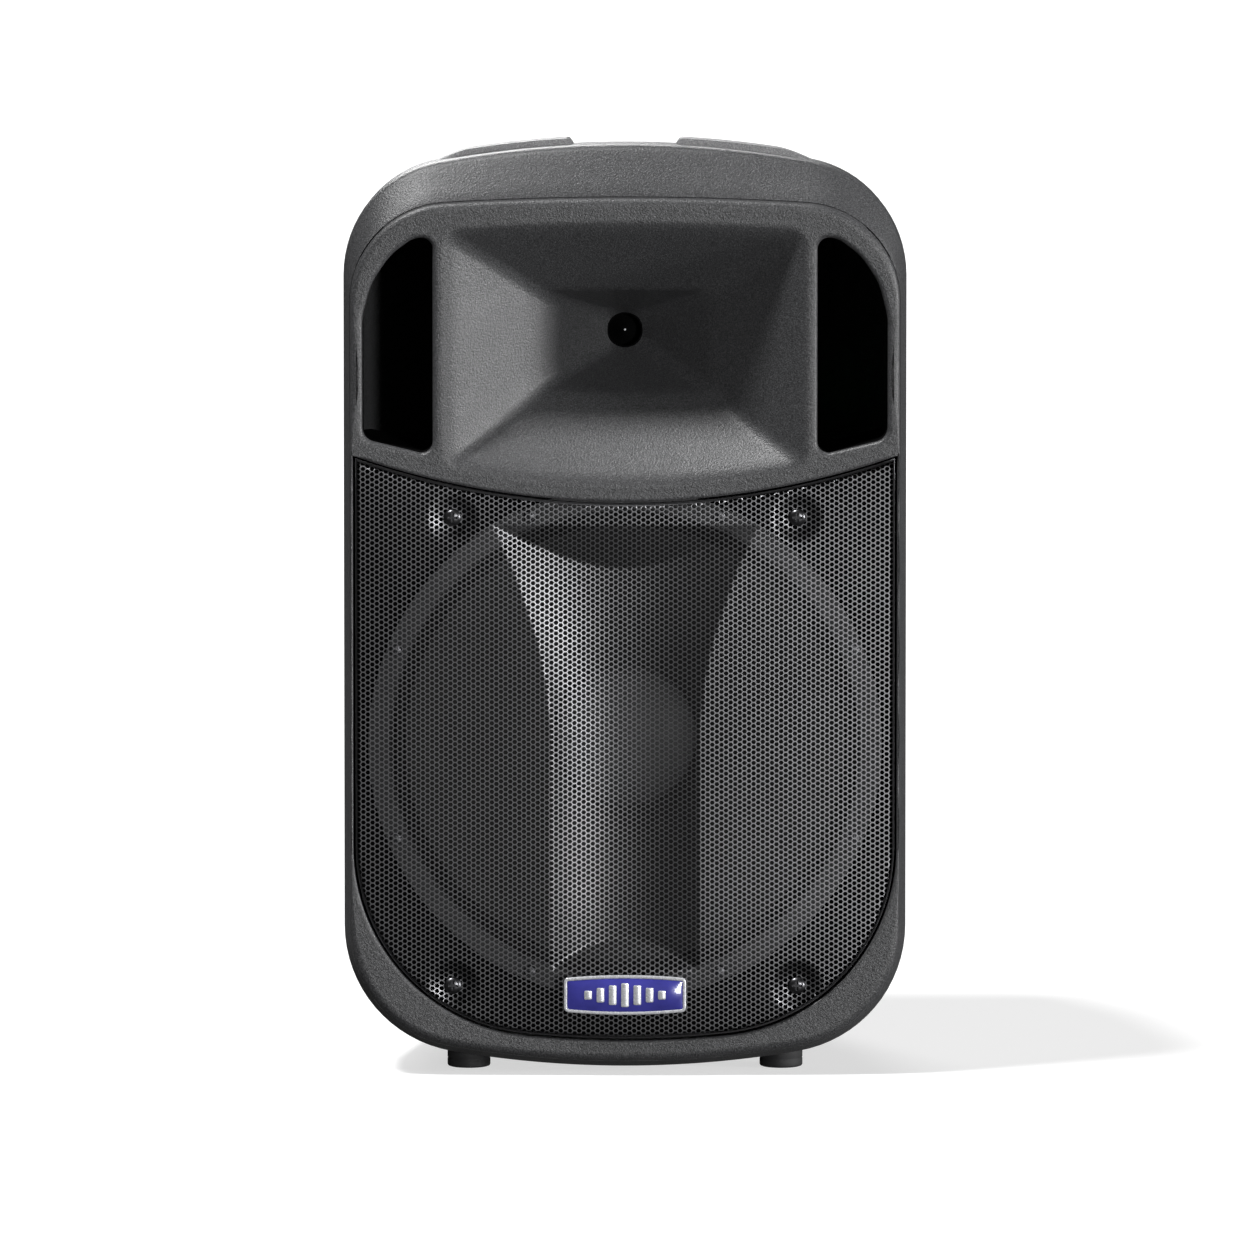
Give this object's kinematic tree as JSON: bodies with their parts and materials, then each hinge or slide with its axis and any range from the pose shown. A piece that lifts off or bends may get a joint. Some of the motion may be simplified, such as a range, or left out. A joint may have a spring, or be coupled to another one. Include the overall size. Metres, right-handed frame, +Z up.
{
  "type": "pa speaker cabinet",
  "caption": "Moulded loudspeaker cabinet with a horn, twin ports and a domed perforated grille in front, and a powered amplifier panel behind.",
  "frame": {"origin": "middle of the footprint, on the plane of the four feet", "axes": "+Z up, -Y towards the listener (grille side), +X to the right when looking at the grille"},
  "size_m": [0.43, 0.392, 0.7151],
  "materials": {
    "shell_plastic": "charcoal moulded plastic with a fine leather grain",
    "grille_mesh": "black powder-coated perforated steel",
    "badge_enamel": "gloss blue enamel with a polished rim",
    "black_rubber": "matt black rubber",
    "black_steel": "black oxide, satin",
    "zinc_steel": "zinc plated",
    "cast_frame": "dark powder-coated cast frame",
    "ferrite": "sintered ferrite, matt",
    "cone_paper": "black pulp paper with a felt texture",
    "treated_cloth": "doped woven cloth",
    "copper_wire": "enamelled copper winding",
    "titanium_foil": "formed titanium foil",
    "panel_paint": "black textured paint",
    "black_aluminium": "black anodised extrusion",
    "board_laminate": "green solder mask",
    "black_plastic": "satin black moulded plastic",
    "latch_metal": "plated release tab",
    "grey_plastic": "grey moulded plastic"
  },
  "bodies": {
    "cabinet": {"front_shell": "shell_plastic", "rear_shell": "shell_plastic", "port_duct_left": "shell_plastic", "port_duct_right": "shell_plastic", "grille": "grille_mesh", "badge_plate": "badge_enamel", "shell_gasket": "black_rubber", "foot_front_left": "black_rubber", "foot_front_right": "black_rubber", "foot_rear_left": "black_rubber", "foot_rear_right": "black_rubber", "top_handle": "black_rubber", "woofer_gasket": "black_rubber", "grille_screw_1": "black_steel", "grille_screw_2": "black_steel", "grille_screw_3": "black_steel", "grille_screw_4": "black_steel", "pole_socket": "black_steel", "woofer_screw_1": "black_steel", "woofer_screw_2": "black_steel", "woofer_screw_3": "black_steel", "woofer_screw_4": "black_steel", "woofer_screw_5": "black_steel", "woofer_screw_6": "black_steel", "woofer_screw_7": "black_steel", "woofer_screw_8": "black_steel", "fly_insert_top_left": "zinc_steel", "fly_insert_top_right": "zinc_steel", "fly_insert_rear": "zinc_steel", "woofer_top_plate": "zinc_steel", "woofer_pole_piece": "zinc_steel", "driver_flange": "zinc_steel", "woofer_basket": "cast_frame", "woofer_magnet": "ferrite", "driver_magnet": "ferrite", "woofer_surround": "treated_cloth", "woofer_spider": "treated_cloth", "transformer": "copper_wire", "amp_panel": "panel_paint", "heat_sink": "black_aluminium", "circuit_board": "board_laminate", "driver_phase_plug": "black_plastic", "driver_rear_cap": "black_plastic", "input_socket_1": "black_plastic", "input_socket_2": "black_plastic", "link_socket": "black_plastic", "mains_inlet": "black_plastic", "rocker_bezel": "black_plastic"},
    "woofer_cone_assembly": {"woofer_cone": "cone_paper", "woofer_dust_cap": "cone_paper", "woofer_voice_coil": "copper_wire"},
    "tweeter_diaphragm": {"driver_diaphragm": "titanium_foil"},
    "gain_1": {"gain_knob_1": "black_plastic"},
    "gain_2": {"gain_knob_2": "black_plastic"},
    "latch_1": {"latch_tab_1": "latch_metal"},
    "latch_2": {"latch_tab_2": "latch_metal"},
    "button_1": {"mode_button_1": "grey_plastic"},
    "button_2": {"mode_button_2": "grey_plastic"},
    "rocker": {"power_rocker": "black_plastic"},
    "fuse_holder": {"fuse_drawer": "black_plastic"}
  },
  "joints": [
    {"name": "cone_travel", "type": "slide", "parent": "cabinet", "child": "woofer_cone_assembly", "axis": [0, -1, 0], "range_m": [-0.005, 0.005], "stiffness_N_per_m": 5000, "deforming": ["woofer_surround", "woofer_spider"]},
    {"name": "diaphragm_travel", "type": "slide", "parent": "cabinet", "child": "tweeter_diaphragm", "axis": [0, -1, 0], "range_m": [-0.0003, 0.0003], "stiffness_N_per_m": 500},
    {"name": "gain_1_turn", "type": "hinge", "parent": "cabinet", "child": "gain_1", "pos_m": [0.058, 0.1833, 0.347], "axis": [0, 1, 0], "range_deg": [-150, 150]},
    {"name": "gain_2_turn", "type": "hinge", "parent": "cabinet", "child": "gain_2", "pos_m": [0, 0.1833, 0.347], "axis": [0, 1, 0], "range_deg": [-150, 150]},
    {"name": "latch_1_press", "type": "slide", "parent": "cabinet", "child": "latch_1", "axis": [0, -1, 0], "range_m": [0, 0.0015], "stiffness_N_per_m": 150, "springref_m": -0.003},
    {"name": "latch_2_press", "type": "slide", "parent": "cabinet", "child": "latch_2", "axis": [0, -1, 0], "range_m": [0, 0.0015], "stiffness_N_per_m": 150, "springref_m": -0.003},
    {"name": "button_1_press", "type": "slide", "parent": "cabinet", "child": "button_1", "axis": [0, -1, 0], "range_m": [0, 0.0025], "stiffness_N_per_m": 150, "springref_m": -0.003},
    {"name": "button_2_press", "type": "slide", "parent": "cabinet", "child": "button_2", "axis": [0, -1, 0], "range_m": [0, 0.0025], "stiffness_N_per_m": 150, "springref_m": -0.003},
    {"name": "rocker_throw", "type": "hinge", "parent": "cabinet", "child": "rocker", "pos_m": [-0.045, 0.1823, 0.188], "axis": [1, 0, 0], "range_deg": [0, 22]},
    {"name": "fuse_pull", "type": "slide", "parent": "cabinet", "child": "fuse_holder", "axis": [0, 1, 0], "range_m": [0, 0.02]}
  ]
}
